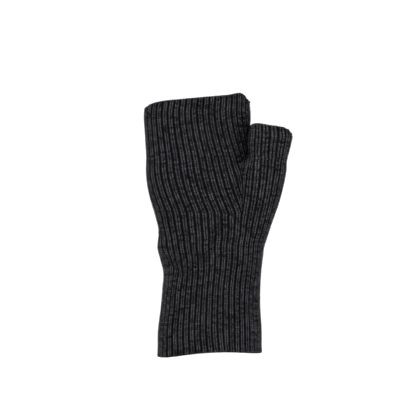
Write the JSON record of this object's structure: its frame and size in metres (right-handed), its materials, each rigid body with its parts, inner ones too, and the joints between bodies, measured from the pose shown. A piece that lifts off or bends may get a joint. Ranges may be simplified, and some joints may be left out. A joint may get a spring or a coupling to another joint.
{
  "type": "fingerless glove",
  "caption": "Rib-knitted fingerless glove for a right hand, with a long cuff, a slanting thumb gusset, a short open thumb sleeve and knitted bands at every opening.",
  "frame": {"origin": "centre of the wrist opening", "axes": "+Z along the hand towards the fingers, -Y out of the palm, +X towards the thumb"},
  "size_m": [0.1183, 0.053, 0.2105],
  "materials": {
    "rib_knit": "charcoal melange wool, raised ribs of knit stitches with near-black valleys, matt with a soft fuzz",
    "edge_knit": "charcoal wool, chained edge stitches",
    "yarn": "plied charcoal wool yarn"
  },
  "bodies": {
    "cuff": {"wrist_edge": "edge_knit", "cuff_tube": "rib_knit", "cast_on_tail": "yarn"},
    "hand": {"wrist_section": "rib_knit", "hand_tube": "rib_knit", "finger_edge": "edge_knit", "bind_off_tail": "yarn", "thumb_gusset": "rib_knit", "gusset_join": "yarn"},
    "thumb": {"thumb_root": "rib_knit", "thumb_sleeve": "rib_knit", "thumb_edge": "edge_knit", "thumb_tail": "yarn"}
  },
  "joints": [
    {"name": "wrist_bend", "type": "hinge", "parent": "cuff", "child": "hand", "pos_m": [0, 0, 0.068], "axis": [1, 0, 0], "range_deg": [-40, 40], "stiffness_Nm_per_rad": 0.1, "deforming": ["wrist_section"]},
    {"name": "thumb_swing", "type": "hinge", "parent": "hand", "child": "thumb", "pos_m": [0.046, -0.006, 0.1555], "axis": [0, 1, 0], "range_deg": [0, 25], "stiffness_Nm_per_rad": 0.02, "deforming": ["thumb_root"]}
  ]
}
